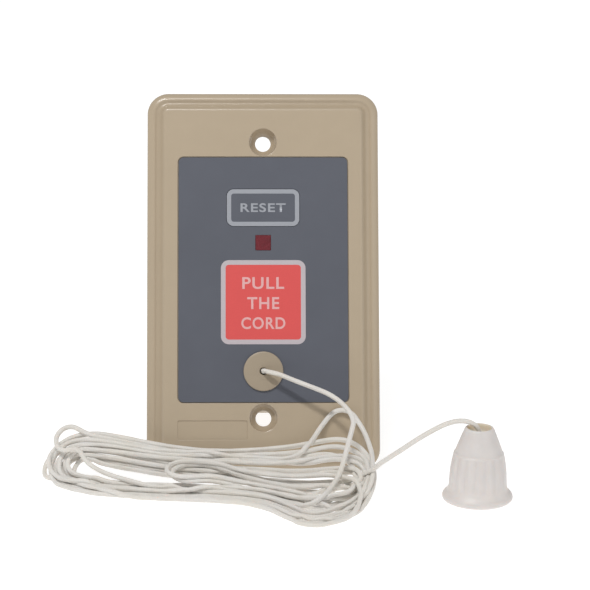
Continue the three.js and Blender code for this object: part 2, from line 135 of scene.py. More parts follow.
def linear(code):
    """A colour written as #rrggbb, as the shaders' linear values."""
    parts = [int(code[i : i + 2], 16) / 255 for i in (1, 3, 5)]
    return [p / 12.92 if p <= 0.04045 else ((p + 0.055) / 1.055) ** 2.4 for p in parts] + [1.0]


def node(tree, kind, inputs=(), **settings):
    """Adds a shader node. An input's value is a plain value, or the socket that feeds it."""
    made = tree.nodes.new("ShaderNode" + kind)
    for name, value in settings.items():
        setattr(made, name, value)
    for name, value in dict(inputs).items():
        if isinstance(value, bpy.types.NodeSocket):
            tree.links.new(value, made.inputs[name])
        else:
            made.inputs[name].default_value = value
    return made


def math_node(tree, operation, a, b=0.0):
    return node(tree, "Math", {0: a, 1: b}, operation=operation).outputs[0]


def noise(tree, size, detail=3.0, roughness=0.55, stretch=None):
    """Noise whose lumps are about that size, in metres, from 0 to 1."""
    place = node(tree, "TexCoord").outputs["Object"]
    if stretch:
        place = node(tree, "Mapping", {"Vector": place, "Scale": stretch}).outputs[0]
    inputs = {"Vector": place, "Scale": 1 / size, "Detail": detail, "Roughness": roughness}
    return node(tree, "TexNoise", inputs).outputs["Fac"]


def spread(tree, value, low, high):
    """A 0 to 1 value, stretched from the middle of a noise's usual range to low and high."""
    inputs = {"Value": value, "From Min": 0.3, "From Max": 0.7, "To Min": low, "To Max": high}
    return node(tree, "MapRange", inputs).outputs[0]


def mix(tree, share, a, b):
    return node(tree, "Mix", {0: share, 6: a, 7: b}, data_type="RGBA").outputs[2]


def shaded(colour, by):
    return [min(1.0, c * by) for c in colour[:3]] + [1.0]


def bump(tree, height, depth, under=None):
    inputs = {"Height": height, "Distance": depth, "Strength": 1.0}
    if under:
        inputs["Normal"] = under
    return node(tree, "Bump", inputs).outputs[0]


def new_look(name, **sockets):
    look = bpy.data.materials.new(name)
    look.use_nodes = True
    shader = look.node_tree.nodes["Principled BSDF"]
    for socket, value in sockets.items():
        shader.inputs[socket.replace("_", " ")].default_value = value
    return look, look.node_tree, shader


def wire(tree, shader, **sockets):
    for socket, value in sockets.items():
        tree.links.new(value, shader.inputs[socket.replace("_", " ")])


# ---------------- materials


def moulded(name, code, rough, grain=0.35 * MM, depth=0.004 * MM, mottle=0.05, **sockets):
    """Moulded plastic: a fine grain, a faint broad mottle and patches where it is more rubbed."""
    look, tree, shader = new_look(name, **sockets)
    colour = linear(code)
    broad = spread(tree, noise(tree, 9 * MM), 0, 1)
    fine = noise(tree, grain, detail=4)
    tint = mix(tree, broad, shaded(colour, 1 - mottle), shaded(colour, 1 + mottle))
    speck = spread(tree, fine, 0, 0.3)
    tint = mix(tree, speck, tint, shaded(colour, 1 - 1.6 * mottle))
    rubbed = spread(tree, noise(tree, 5 * MM), rough - 0.03, rough + 0.04)
    swirl = noise(tree, 2.6 * MM, detail=2)
    normal = bump(tree, swirl, depth)
    normal = bump(tree, fine, depth, under=normal)
    wire(tree, shader, Base_Color=tint, Roughness=rubbed, Normal=normal)
    return look


def turned_metal(name, code, rough):
    """Metal with the fine rings that a lathe leaves, and a faint tarnish."""
    look, tree, shader = new_look(name, Metallic=1.0)
    colour = linear(code)
    tarnish = spread(tree, noise(tree, 1.8 * MM, detail=5), 0, 1)
    tint = mix(tree, tarnish, shaded(colour, 0.8), shaded(colour, 1.08))
    rings = noise(tree, 0.5 * MM, stretch=(0.15, 0.15, 4))
    roughness = spread(tree, rings, rough - 0.08, rough + 0.1)
    normal = bump(tree, rings, 0.006 * MM)
    wire(tree, shader, Base_Color=tint, Roughness=roughness, Normal=normal)
    return look


def label_film():
    """Satin printed film: an almost even dark grey with a very fine texture."""
    look, tree, shader = new_look("label_film", Specular_IOR_Level=0.42)
    colour = linear("#595c65")
    broad = spread(tree, noise(tree, 14 * MM, detail=2), 0, 1)
    tint = mix(tree, broad, shaded(colour, 0.965), shaded(colour, 1.035))
    dots = noise(tree, 0.16 * MM, detail=2)
    roughness = spread(tree, noise(tree, 3 * MM), 0.42, 0.5)
    normal = bump(tree, dots, 0.0022 * MM)
    wire(tree, shader, Base_Color=tint, Roughness=roughness, Normal=normal)
    return look


def printed(name, code, rough, metallic=0.0):
    """Screen-printed ink, with the slight unevenness of the mesh it was drawn through."""
    look, tree, shader = new_look(name, Metallic=metallic)
    colour = linear(code)
    weave = noise(tree, 0.22 * MM, detail=2)
    tint = mix(tree, spread(tree, weave, 0, 1), shaded(colour, 0.95), shaded(colour, 1.04))
    cloud = spread(tree, noise(tree, 6 * MM), 0, 0.5)
    tint = mix(tree, cloud, tint, shaded(colour, 0.96))
    normal = bump(tree, weave, 0.003 * MM)
    roughness = spread(tree, weave, rough - 0.05, rough + 0.05)
    wire(tree, shader, Base_Color=tint, Roughness=roughness, Normal=normal)
    return look


def lens_plastic():
    """Clear dark red plastic: glossy, darker in its depth."""
    look, tree, shader = new_look("lens_plastic", Coat_Weight=0.25, Coat_Roughness=0.1)
    colour = linear("#6b1e28")
    cloud = spread(tree, noise(tree, 1.6 * MM, detail=4), 0, 1)
    tint = mix(tree, cloud, shaded(colour, 0.8), shaded(colour, 1.15))
    ribs = noise(tree, 0.3 * MM, detail=1)
    roughness = spread(tree, ribs, 0.2, 0.32)
    wire(tree, shader, Base_Color=tint, Roughness=roughness, Normal=bump(tree, ribs, 0.004 * MM))
    return look


def board_laminate():
    """Green solder mask over copper tracks, which show as faint raised lighter lines."""
    look, tree, shader = new_look("board_laminate", Coat_Weight=0.3, Coat_Roughness=0.15)
    place = node(tree, "TexCoord").outputs["Object"]
    level = node(tree, "Mapping", {"Vector": place, "Rotation": (LEAN, 0, 0)}).outputs[0]
    axes = node(tree, "SeparateXYZ", {0: level})
    flat = node(tree, "CombineXYZ", {0: axes.outputs[0], 1: axes.outputs[2]}).outputs[0]
    inputs = {"Vector": flat, "Scale": 1 / (3.2 * MM), "Mortar Size": 0.06, "Color1": (0, 0, 0, 1)}
    inputs |= {"Color2": (0.15, 0.15, 0.15, 1), "Mortar": (1, 1, 1, 1)}
    tracks = node(tree, "TexBrick", inputs).outputs["Color"]
    green = linear("#22603a")
    tint = mix(tree, tracks, shaded(green, 0.8), shaded(green, 1.5))
    roughness = spread(tree, noise(tree, 1 * MM), 0.3, 0.42)
    wire(tree, shader, Base_Color=tint, Roughness=roughness, Normal=bump(tree, tracks, 0.02 * MM))
    return look


def cord_braid():
    """A soft white braid: strands that cross each other in two helices, with painted grey shade
    between them.
    """
    look, tree, shader = new_look("cord_braid", Sheen_Weight=0.25, Sheen_Roughness=0.5)
    shader.inputs["Subsurface Weight"].default_value = 0.35
    shader.inputs["Subsurface Radius"].default_value = (0.9 * MM, 0.8 * MM, 0.75 * MM)
    shader.inputs["Subsurface Scale"].default_value = 1.0
    axes = node(tree, "SeparateXYZ", {0: node(tree, "UVMap").outputs[0]})
    along = math_node(tree, "MULTIPLY", axes.outputs[0], 2 * math.pi / (1.5 * MM))
    around = math_node(tree, "MULTIPLY", axes.outputs[1], 2 * math.pi * 3)
    left = math_node(tree, "SINE", math_node(tree, "ADD", along, around))
    right = math_node(tree, "SINE", math_node(tree, "SUBTRACT", along, around))
    weave = math_node(tree, "MULTIPLY_ADD", math_node(tree, "MULTIPLY", left, right), 0.5)
    weave.node.inputs[2].default_value = 0.5
    white = linear("#e2dfdb")
    patches = spread(tree, noise(tree, 12 * MM, detail=2), 0, 0.55)
    tint = mix(tree, patches, white, linear("#dfd9cc"))
    # Painted shade: the colour darkens to grey in the gaps between the strands, where the braid
    # shades itself.
    between = math_node(tree, "MULTIPLY", math_node(tree, "SUBTRACT", 1.0, weave), 0.16)
    tint = mix(tree, between, tint, linear("#c8c2b7"))
    fuzz = noise(tree, 0.12 * MM, detail=3)
    normal = bump(tree, weave, 0.05 * MM)
    normal = bump(tree, fuzz, 0.012 * MM, under=normal)
    roughness = spread(tree, fuzz, 0.62, 0.78)
    wire(tree, shader, Base_Color=tint, Roughness=roughness, Normal=normal)
    return look


YELLOWING = 0.45  # of the knob's plastic inside its mouth


def bell_plastic():
    """Translucent milky plastic, yellowed in its mouth."""
    look, tree, shader = new_look("bell_plastic", Specular_IOR_Level=0.45, Coat_Weight=0.1)
    shader.inputs["Coat Roughness"].default_value = 0.3
    shader.inputs["Subsurface Weight"].default_value = 0.45
    shader.inputs["Subsurface Radius"].default_value = (2.2 * MM, 1.7 * MM, 1.4 * MM)
    shader.inputs["Subsurface Scale"].default_value = 1.0
    place = node(tree, "TexCoord").outputs["Object"]
    axes = node(tree, "SeparateXYZ", {0: place})
    mouth = BELL_FOOT + 21 * MM * Vector((math.sin(BELL_LEAN), 0, 1))
    level = node(tree, "CombineXYZ", {0: axes.outputs[0], 1: axes.outputs[1]}).outputs[0]
    inputs = {0: level, 1: (mouth.x, mouth.y, 0)}
    away = node(tree, "VectorMath", inputs, operation="DISTANCE").outputs["Value"]
    inputs = {"Value": away, "From Min": 3.8 * MM, "From Max": 3.5 * MM}
    inputs |= {"To Min": 0, "To Max": YELLOWING}
    within = node(tree, "MapRange", inputs).outputs[0]
    inputs = {"Value": axes.outputs[2], "From Min": 17 * MM, "From Max": 21 * MM}
    high = node(tree, "MapRange", inputs).outputs[0]
    top = math_node(tree, "MULTIPLY", within, high)
    milk = linear("#d9d4d1")
    cloud = spread(tree, noise(tree, 5 * MM, detail=3), 0, 1)
    tint = mix(tree, cloud, shaded(milk, 0.97), shaded(milk, 1.03))
    tint = mix(tree, top, tint, linear("#e6d6ad"))
    flow = noise(tree, 1.6 * MM, detail=2, stretch=(1, 1, 0.3))
    roughness = spread(tree, flow, 0.4, 0.5)
    wire(tree, shader, Base_Color=tint, Roughness=roughness, Normal=bump(tree, flow, 0.02 * MM))
    return look


LOOKS = {
    "plate_plastic": moulded("plate_plastic", "#b4a48d", 0.23, depth=0.0003 * MM, mottle=0.02),
    "bush_plastic": moulded("bush_plastic", "#a29480", 0.4, depth=0.0008 * MM, mottle=0.03),
    "housing_plastic": moulded(
        "housing_plastic", "#aa9b84", 0.5, grain=0.5 * MM, depth=0.012 * MM
    ),
    "black_plastic": moulded("black_plastic", "#26262a", 0.45, mottle=0.12),
    "terminal_plastic": moulded("terminal_plastic", "#2f7d55", 0.42, mottle=0.08),
    "plunger_plastic": moulded("plunger_plastic", "#e4e0d8", 0.38),
    "relay_plastic": moulded("relay_plastic", "#2c5f9e", 0.35, mottle=0.08),
    "brass": turned_metal("brass", "#c9a659", 0.32),
    "spring_steel": turned_metal("spring_steel", "#b9bbbe", 0.3),
    "label_film": label_film(),
    "silver_ink": printed("silver_ink", "#a3a6ad", 0.45, metallic=0.25),
    "red_ink": printed("red_ink", "#d9514f", 0.5),
    "lilac_ink": printed("lilac_ink", "#bdb4b8", 0.5),
    "pale_ink": printed("pale_ink", "#dfabaa", 0.5),
    "lens_plastic": lens_plastic(),
    "board_laminate": board_laminate(),
    "cord_braid": cord_braid(),
    "bell_plastic": bell_plastic(),
}

# ---------------- mesh helpers

SMOOTH = math.radians(32)


def new_object(name, mesh, look, place=None):
    made = bpy.data.objects.new(name, mesh)
    if place:
        made.matrix_world = place
    bpy.context.scene.collection.objects.link(made)
    mesh.materials.clear()
    mesh.materials.append(LOOKS[look])
    return made


def mesh_of(name, points, faces):
    mesh = bpy.data.meshes.new(name)
    mesh.from_pydata([tuple(p) for p in points], [], faces)
    work = bmesh.new()
    work.from_mesh(mesh)
    bmesh.ops.recalc_face_normals(work, faces=work.faces)
    work.to_mesh(mesh)
    work.free()
    return mesh


def shade(piece, angle=SMOOTH, weighted=True):
    """Smooth where the surface turns gently, with flat faces kept flat."""
    mesh = piece.data
    mesh.polygons.foreach_set("use_smooth", [True] * len(mesh.polygons))
    mesh.set_sharp_from_angle(angle=angle)
    if weighted:
        piece.modifiers.new("even_normals", "WEIGHTED_NORMAL").keep_sharp = True
    return piece


def ring_mesh(name, rings, loop=False):
    """A skin over rings of points: closed by a face at each end, or joined up into a loop."""
    count = len(rings[0])
    starts = range(0, (len(rings) - (0 if loop else 1)) * count, count)
    total = len(rings) * count
    faces = []
    for start in starts:
        for i in range(count):
            j = (i + 1) % count
            above = (start + count) % total
            faces.append((start + i, start + j, above + j, above + i))
    if not loop:
        faces.append(tuple(reversed(range(count))))
        faces.append(tuple(range(total - count, total)))
    return mesh_of(name, [p for ring in rings for p in ring], faces)


def corner_ring(half, corner, z, middle=(0, 0), steps=8):
    """The points of a rounded rectangle round middle, at height z."""
    points = []
    inner = [h - corner for h in half]
    for quarter, (sx, sy) in enumerate([(1, -1), (1, 1), (-1, 1), (-1, -1)]):
        for i in range(steps + 1):
            angle = (quarter - 1 + i / steps) * math.pi / 2
            x = middle[0] + sx * inner[0] + corner * math.cos(angle)
            y = middle[1] + sy * inner[1] + corner * math.sin(angle)
            points.append((x, y, z))
    return points


def stacked(half, corner, levels, middle=(0, 0), steps=8):
    """Rounded rectangles that shrink by each level's inset, at each level's height."""
    rings = []
    for inset, z in levels:
        inner = [h - inset for h in half]
        rings.append(corner_ring(inner, max(corner - inset, 0.05 * MM), z, middle, steps))
    return rings


def turned_rings(profile, sides, middle=(0, 0)):
    """Circles for a list of (radius, height)."""
    angles = [2 * math.pi * i / sides for i in range(sides)]
    rings = []
    for radius, z in profile:
        rings.append(
            [
                (middle[0] + radius * math.cos(a), middle[1] + radius * math.sin(a), z)
                for a in angles
            ]
        )
    return rings


def applied(piece):
    """Turns a piece's modifiers into its mesh."""
    shown = piece.evaluated_get(bpy.context.evaluated_depsgraph_get())
    mesh = bpy.data.meshes.new_from_object(shown)
    piece.modifiers.clear()
    piece.data = mesh
    return piece


def combine(piece, operation, meshes):
    """Cuts meshes out of a piece, or joins them to it."""
    tools = []
    for i, mesh in enumerate(meshes):
        tool = bpy.data.objects.new(f"{piece.name}_tool_{i}", mesh)
        tool.matrix_world = piece.matrix_world
        bpy.context.scene.collection.objects.link(tool)
        modifier = piece.modifiers.new("combine", "BOOLEAN")
        modifier.operation = operation
        modifier.solver = "EXACT"
        modifier.object = tool
        tools.append(tool)
    applied(piece)
    for tool in tools:
        bpy.data.objects.remove(tool)
    return piece


def in_slot(piece, body, slot, *nodes):
    """Puts a piece in the frame, on its body, to stand for those CAD nodes. The finish it is given
    is not used.
    """
    piece.data.transform(piece.matrix_world)
    piece.matrix_world = Matrix()
    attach(piece, body)
    if nodes:
        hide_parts(*nodes)
    return piece


# ---------------- the cord's route

# The stretch from the bush to the hank and the one from the hank to the knob, y from the foot.
LEAD = [
    (0.0001, 0.0044, 0.0300),
    (0.0014, 0.0029, 0.0301),
    (0.0049, 0.0012, 0.0297),
    (0.0110, -0.0012, 0.0279),
    (0.0172, -0.0034, 0.0261),
    (0.0207, -0.0051, 0.0247),
    (0.0236, -0.0071, 0.0229),
    (0.0256, -0.0091, 0.0208),
    (0.0263, -0.0110, 0.0186),
    (0.0256, -0.0128, 0.0166),
    (0.0250, -0.0140, 0.0152),
]
TAIL = [
    (0.0339, -0.0222, 0.0101),
    (0.0382, -0.0225, 0.0131),
    (0.0430, -0.0231, 0.0167),
    (0.0480, -0.0238, 0.0202),
    (0.0524, -0.0244, 0.0227),
    (0.0560, -0.0249, 0.0239),
    (0.0592, -0.0253, 0.0237),
    (0.0613, -0.0255, 0.0224),
    (0.0621, -0.0255, 0.0206),
    (0.06215, -0.0255, 0.0188),
]
# Where the lead drops into the hank, where one turn stands up in an arch, and where it leaves.
DROP = [(0.0238, -0.0175, 0.0132), (0.0228, -0.0230, 0.0096), (0.0195, -0.0290, 0.0062)]
ARCH = [
    (0.0170, -0.0025, 0.0158),
    (0.0203, -0.0006, 0.0192),
    (0.0242, 0.0002, 0.0208),
    (0.0280, -0.0028, 0.0178),
    (0.0306, -0.0080, 0.0142),
    (0.0318, -0.0140, 0.0106),
    (0.0312, -0.0200, 0.0080),
    (0.0285, -0.0300, 0.0045),
    (0.0220, -0.0380, 0.0025),
]
RISE = [(0.0280, -0.0200, 0.0065), (0.0310, -0.0218, 0.0082)]
ARCH_TURN = 1

# The hank is a long heap that slopes up from its front edge on the table to its back edge.
HEAP_FRONT = [
    (-0.068, -0.005),
    (-0.062, -0.012),
    (-0.052, -0.020),
    (-0.045, -0.024),
    (-0.026, -0.0263),
    (-0.008, -0.028),
    (0.002, -0.0335),
    (0.008, -0.043),
    (0.012, -0.0485),
    (0.017, -0.0475),
    (0.022, -0.0445),
    (0.027, -0.043),
    (0.031, -0.034),
    (0.034, -0.018),
]
HEAP_BACK = [
    (-0.066, -0.0035, 0.0080),
    (-0.060, -0.0030, 0.0132),
    (-0.054, -0.0030, 0.0150),
    (-0.035, -0.0063, 0.0126),
    (-0.020, -0.0073, 0.0102),
    (-0.002, -0.0073, 0.0102),
    (0.010, -0.0068, 0.0113),
    (0.025, -0.0066, 0.0140),
    (0.031, -0.0080, 0.0132),
    (0.034, -0.0120, 0.0092),
]
ON_TABLE = CORD_RADIUS + 0.1 * MM
LAYER = 1.5 * MM

# Each turn of the hank, from its right end to its left end and back: how far up the slope it lies
# as it sets out, reaches the left, leaves it and comes back; x at both ends; layers under the top.
TURNS = [
    (0.26, 0.10, 0.98, 1.00, -0.0640, 0.0325, 0),
    (0.04, 0.02, 0.90, 0.86, -0.0640, 0.0310, 0),
    (0.42, 0.36, 0.60, 0.60, -0.0290, 0.0280, 0),
    (0.00, 0.06, 0.82, 0.93, -0.0610, 0.0310, 0),
    (0.18, 0.86, 0.98, 0.78, -0.0630, 0.0300, 0),
    (0.34, 0.30, 0.60, 0.50, -0.0275, 0.0290, 1),
    (0.12, 0.16, 0.72, 0.66, -0.0605, 0.0310, 1),
    (0.34, 0.14, 0.88, 0.90, -0.0590, 0.0280, 1),
    (0.02, 0.06, 0.80, 0.70, -0.0620, 0.0290, 1),
    (0.33, 0.24, 0.76, 0.80, -0.0585, 0.0310, 0),
    (0.50, 0.12, 0.92, 0.56, -0.0660, 0.0270, 2),
    (0.22, 0.04, 0.70, 0.60, -0.0600, 0.0270, 2),
    (0.30, 0.16, 0.68, 0.50, -0.0570, 0.0300, 2),
]
CROSSING_TURN = 4  # its outgoing run stays low, then climbs across the others at the left
CROSSING_FROM = -0.040
CROSSING_LIFT = 1.5  # layers
CROSSING_POWER = 7  # how late it climbs
SHORT_TURN = -0.045  # a turn whose left end lies right of this is a short one
RUN_END = 0.016
WAVER = 0.012

STEP = 2 * MM  # between the points that are moved apart
FINE_STEP = 0.8 * MM  # between the rings of the cord's mesh
PINNED = 38 * MM  # of each end, which stays as laid
ROUNDS = 260
SAG = 0.01 * MM  # what each round lowers a point by
RECALL = 0.006  # the share of the way back to where a point was laid, each round
EVENING = 0.12  # the share of the way to the middle of its neighbours, each round
# Two points that many steps apart stay at least that share of the cord between them apart.
OPEN_BENDS = ((2, 0.957), (3, 0.905), (4, 0.84), (5, 0.76))
CLEAR = 0.05 * MM  # between the cord and what it lies on
TINY = 1e-9  # in place of zero, to divide by


def heap_point(x, share, layer):
    """A point on the heap's slope, share of the way up it, some layers under its top."""
    front_x, front_y = np.transpose(HEAP_FRONT)
    back_x, back_y, back_z = np.transpose(HEAP_BACK)
    near = np.interp(x, front_x, front_y)
    far = np.interp(x, back_x, back_y)
    top = np.interp(x, back_x, back_z)
    y = near + share * (far - near) + 0.45 * LAYER * layer
    z = ON_TABLE + share * (top - ON_TABLE) - 0.9 * LAYER * layer
    return (x, y, max(z, ON_TABLE))


def heap_run(turn, stops, start_x, shares, layer, first):
    """One run of a turn along the heap, wavering a little."""
    length = RUN_END - TURNS[turn][4]
    crossing = turn == CROSSING_TURN and first == 0
    points = []
    for k, x in enumerate(stops):
        way = (abs(x - start_x) / length) ** (CROSSING_POWER if crossing else 1)
        share = shares[0] + (shares[1] - shares[0]) * way
        share += WAVER * math.sin(2.3 * turn + 1.7 * (k + first))
        lift = CROSSING_LIFT if crossing and x < CROSSING_FROM else 0
        points.append(heap_point(x, share, layer - lift))
    return points


def short_end(left, layer):
    """The left end of a short turn, which lies flat in the front of the heap."""
    front, back = -0.0225, -0.0120
    z = 0.0048 + 0.0012 * (2 - layer)
    return [
        (left + 0.0130, front + 0.0012, z),
        (left + 0.0055, front, z),
        (left + 0.0010, 0.75 * front + 0.25 * back, z + 0.0004),
        (left + 0.0010, 0.25 * front + 0.75 * back, z + 0.0010),
        (left + 0.0055, back, z + 0.0012),
        (left + 0.0130, back - 0.0008, z + 0.0012),
    ]


def long_end(left, low, high, layer):
    """The left end of a long turn, which folds up the slope."""
    climb = high - low
    return [
        heap_point(left + 0.0045, low + 0.06 * climb, layer),
        heap_point(left, low + 0.4 * climb, layer),
        heap_point(left + 0.0025, high - 0.12 * climb, layer),
    ]


def turn_points(turn):
    """A turn of the hank: out to its left end and back."""
    out_right, out_left, back_left, back_right, left, _, layer = TURNS[turn]
    short = left > SHORT_TURN
    going = [0.012, -0.002] if short else [0.012, 0.0, -0.014, -0.028, left + 0.014]
    coming = [-0.004, 0.010] if short else [left + 0.012, -0.030, -0.016, -0.002, 0.010]
    lift = CROSSING_LIFT if turn == CROSSING_TURN else 0
    end = short_end(left, layer) if short else long_end(left, out_left, back_left, layer - lift)
    out_run = heap_run(turn, going, RUN_END, (out_right, out_left), layer, 0)
    back_run = heap_run(turn, coming, left, (back_left, back_right), layer, 5)
    return out_run + end + back_run


def right_end(turn):
    """The fold between a turn and the next one."""
    share, right, layer = TURNS[turn][3], TURNS[turn][5], TURNS[turn][6]
    following, below = TURNS[turn + 1][0], TURNS[turn + 1][6]
    climb = following - share
    return [
        heap_point(right - 0.009, share, layer),
        heap_point(right - 0.002, share + 0.2 * climb, layer),
        heap_point(right, share + 0.5 * climb, (layer + below) / 2),
        heap_point(right - 0.003, share + 0.85 * climb, below),
        heap_point(right - 0.009, following + 0.02, below),
    ]


def laid_route():
    """The whole cord as it is laid, before its points are moved apart."""
    points = LEAD + DROP
    last = len(TURNS) - 1
    for turn in range(len(TURNS)):
        points = points + turn_points(turn)
        if turn == ARCH_TURN:
            points = points + ARCH
        elif turn < last:
            points = points + right_end(turn)
    points = points + [heap_point(0.020, TURNS[last][3], TURNS[last][6])] + RISE
    return np.array(points + TAIL)


def smooth_line(points, parts):
    """A Catmull-Rom curve through the points."""
    line = np.vstack([2 * points[0] - points[1], points, 2 * points[-1] - points[-2]])
    a, b, c, d = line[:-3], line[1:-2], line[2:-1], line[3:]
    curves = []
    for t in np.arange(parts) / parts:
        cubic = (3 * b - a - 3 * c + d) * t**3
        curves.append((2 * b + (c - a) * t + (2 * a - 5 * b + 4 * c - d) * t**2 + cubic) / 2)
    return np.vstack([np.stack(curves, axis=1).reshape(-1, 3), points[-1:]])


def evenly(line, step):
    """The line again, with points one step apart."""
    along = np.r_[0, np.cumsum(np.linalg.norm(np.diff(line, axis=0), axis=1))]
    at = np.linspace(0, along[-1], int(round(along[-1] / step)) + 1)
    return np.stack([np.interp(at, along, line[:, k]) for k in range(3)], axis=1)


# The plate's rim: how far in from its outline, and how far out from its back, in millimetres.
PLATE_EDGE = [
    (0.4, 0),
    (0.12, 0.1),
    (0, 0.4),
    (0, 2.95),
    (0.08, 3.25),
    (0.26, 3.55),
    (0.55, 3.84),
    (0.9, 4.08),
    (1.25, 4.28),
    (1.6, 4.42),
    (1.9, 4.5),
    (2.15, 4.52),
    (2.34, 4.46),
    (2.52, 4.34),
    (2.72, 4.22),
    (2.95, 4.16),
    (3.2, 4.17),
    (3.5, 4.26),
    (3.8, 4.45),
    (4.05, 4.72),
    (4.3, 5.08),
    (4.55, 5.5),
    (4.78, 5.88),
    (4.98, 6.15),
    (5.18, 6.33),
    (5.4, 6.44),
    (5.7, 6.49),
    (6, 6.5),
]


def plate_front():
    """Height and y (from the foot) of the plate's front along its lower edge, for the cord."""
    heights, depths = [], []
    for inset, out in PLATE_EDGE[1:] + [(60, 6.5)]:
        place = on_plate(0, inset * MM - PLATE_HALF[1], out * MM)
        heights.append(place.z)
        depths.append(place.y - FOOT.y)
    order = np.argsort(heights)
    return np.array(heights)[order], np.array(depths)[order]


def share_out(line, i, j, shift, free):
    """Moves the points i by -shift and j by +shift, less where several shifts meet."""
    total = np.zeros_like(line)
    count = np.zeros(len(line))
    weight = free[i] + free[j]
    shift = shift * 2 / np.maximum(weight, TINY)
    np.add.at(total, i, -shift * free[i])
    np.add.at(total, j, shift * free[j])
    np.add.at(count, np.r_[i, j], 1)
    line += total / np.sqrt(np.maximum(count, 1))[:, None]


def open_bends(line, free):
    """Moves points apart where a stretch of the cord is bent too tightly."""
    for span, straight in OPEN_BENDS:
        chord = line[span:] - line[:-span]
        length = np.linalg.norm(chord, axis=1, keepdims=True)
        short = np.minimum(length - STEP * span * straight, 0)
        push = 0.2 * short * chord / np.maximum(length, TINY)
        line[:-span] += push * free[:-span]
        line[span:] -= push * free[span:]


def keep_length(line, rest, free):
    """Brings the points back to their own distances, every other pair at a time."""
    index = np.arange(len(line))
    for first in (0, 1):
        a = index[first : len(line) - 1 : 2]
        chord = line[a + 1] - line[a]
        length = np.linalg.norm(chord, axis=1, keepdims=True)
        pull = (length - rest[a]) * chord / np.maximum(length, TINY)
        weight = np.maximum(free[a] + free[a + 1], TINY)
        line[a] += pull * free[a] / weight
        line[a + 1] -= pull * free[a + 1] / weight


def near_pairs(line):
    """The pairs of points that are close together, but not along the cord."""
    gaps = ((line[:, None] - line[None]) ** 2).sum(2)
    return np.where(np.triu(gaps < (2.4 * 2 * CORD_RADIUS) ** 2, k=4))


def push_apart(line, pairs, free):
    """Moves near pairs apart where the cord would cut itself."""
    i, j = pairs
    apart = 1.01 * 2 * CORD_RADIUS
    between = line[j] - line[i]
    length = np.linalg.norm(between, axis=1)
    touch = length < apart
    push = ((apart - length[touch]) / 2 / np.maximum(length[touch], TINY))[:, None]
    share_out(line, i[touch], j[touch], push * between[touch], free)


def keep_clear(line, front, free):
    """Keeps the cord above the table and in front of the plate."""
    line[:, 2] = np.maximum(line[:, 2], CORD_RADIUS + CLEAR)
    heights, depths = front
    limit = np.interp(line[:, 2], heights, depths) - 1.08 * CORD_RADIUS - CLEAR
    behind = (np.abs(line[:, 0]) < PLATE_HALF[0]) & (line[:, 1] > limit)
    behind &= free[:, 0] > 0
    line[behind, 1] = limit[behind]


def relaxed(laid):
    """Moves the laid cord's points apart where it would cut itself, the table or the plate, and
    opens its tight bends. It keeps its length and stays close to where it was laid."""
    line = laid.copy()
    rest = np.linalg.norm(np.diff(line, axis=0), axis=1)[:, None]
    free = np.ones((len(line), 1))
    free[: int(PINNED / STEP)] = 0
    free[-int(PINNED / STEP) :] = 0
    front = plate_front()
    for turn in range(ROUNDS):
        if turn % 6 == 0:
            pairs = near_pairs(line)
        line[:, 2] -= SAG * free[:, 0]
        line += RECALL * (laid - line) * free
        line[1:-1] += EVENING * ((line[:-2] + line[2:]) / 2 - line[1:-1]) * free[1:-1]
        open_bends(line, free)
        for _ in range(3):
            keep_length(line, rest, free)
            push_apart(line, pairs, free)
            keep_clear(line, front, free)
    return line


def cord_line():
    """The whole cord's centreline in the frame: out of the bush, through the hank, to the knot."""
    line = relaxed(evenly(smooth_line(laid_route(), 24), STEP))
    line[:, 1] += FOOT.y
    inside = [on_plate(0, BUSH_UP, z * MM) for z in (3.2, 5.0, 6.4)]
    knot = BELL_FOOT + KNOT_UP * Vector((math.sin(BELL_LEAN), 0, math.cos(BELL_LEAN)))
    whole = np.vstack([np.array(inside), line, np.array([knot])])
    return evenly(smooth_line(whole, 6), FINE_STEP)


def frames_along(line):
    """Two unit vectors square to the line at each of its points, without twist."""
    ahead = np.gradient(line, axis=0)
    ahead /= np.linalg.norm(ahead, axis=1, keepdims=True)
    side = np.zeros_like(line)
    current = np.cross(ahead[0], (0, 0, 1))
    for i, tangent in enumerate(ahead):
        current = current - tangent * (current @ tangent)
        current = current / np.linalg.norm(current)
        side[i] = current
    return side, np.cross(ahead, side)


def tube(name, line, radii, sides, look):
    """A round mesh along a line, with its length and turn as UV."""
    side, top = frames_along(line)
    turns = np.arange(sides) / sides
    circle = np.stack([np.cos(2 * np.pi * turns), np.sin(2 * np.pi * turns)], axis=1)
    offset = circle[None, :, 0, None] * side[:, None] + circle[None, :, 1, None] * top[:, None]
    points = line[:, None] + radii[:, :, None] * offset
    mesh = ring_mesh(name, [list(map(tuple, ring)) for ring in points])
    along = np.r_[0, np.cumsum(np.linalg.norm(np.diff(line, axis=0), axis=1))]
    layer = mesh.uv_layers.new(name="UVMap")
    for face in mesh.polygons:
        spots = [divmod(v, sides) for v in face.vertices]
        seam = len(face.vertices) == 4 and {0, sides - 1} <= {turn for _, turn in spots}
        for loop, (ring, turn) in zip(face.loop_indices, spots):
            wrapped = turn + sides if seam and turn == 0 else turn
            layer.data[loop].uv = (along[ring], wrapped / sides)
    return new_object(name, mesh, look)


CORD_SIDES = 12


def make_cord():
    line = cord_line()
    along = np.arange(len(line)) * FINE_STEP
    turn = 2 * np.pi * np.arange(CORD_SIDES) / CORD_SIDES
    strands = np.sin(3 * turn[None] + 2 * np.pi * along[:, None] / (9 * MM))
    flatter = np.cos(2 * turn[None] + 2 * np.pi * along[:, None] / (71 * MM))
    radii = CORD_RADIUS * (1 + 0.03 * strands + 0.035 * flatter)
    cord = tube("pull_cord", line, radii, CORD_SIDES, "cord_braid")
    shade(cord, weighted=False)
    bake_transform(cord)
    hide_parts("cord_lead", "cord_hank", "cord_tail")
    return cord


# ---------------- the plate and what is in it


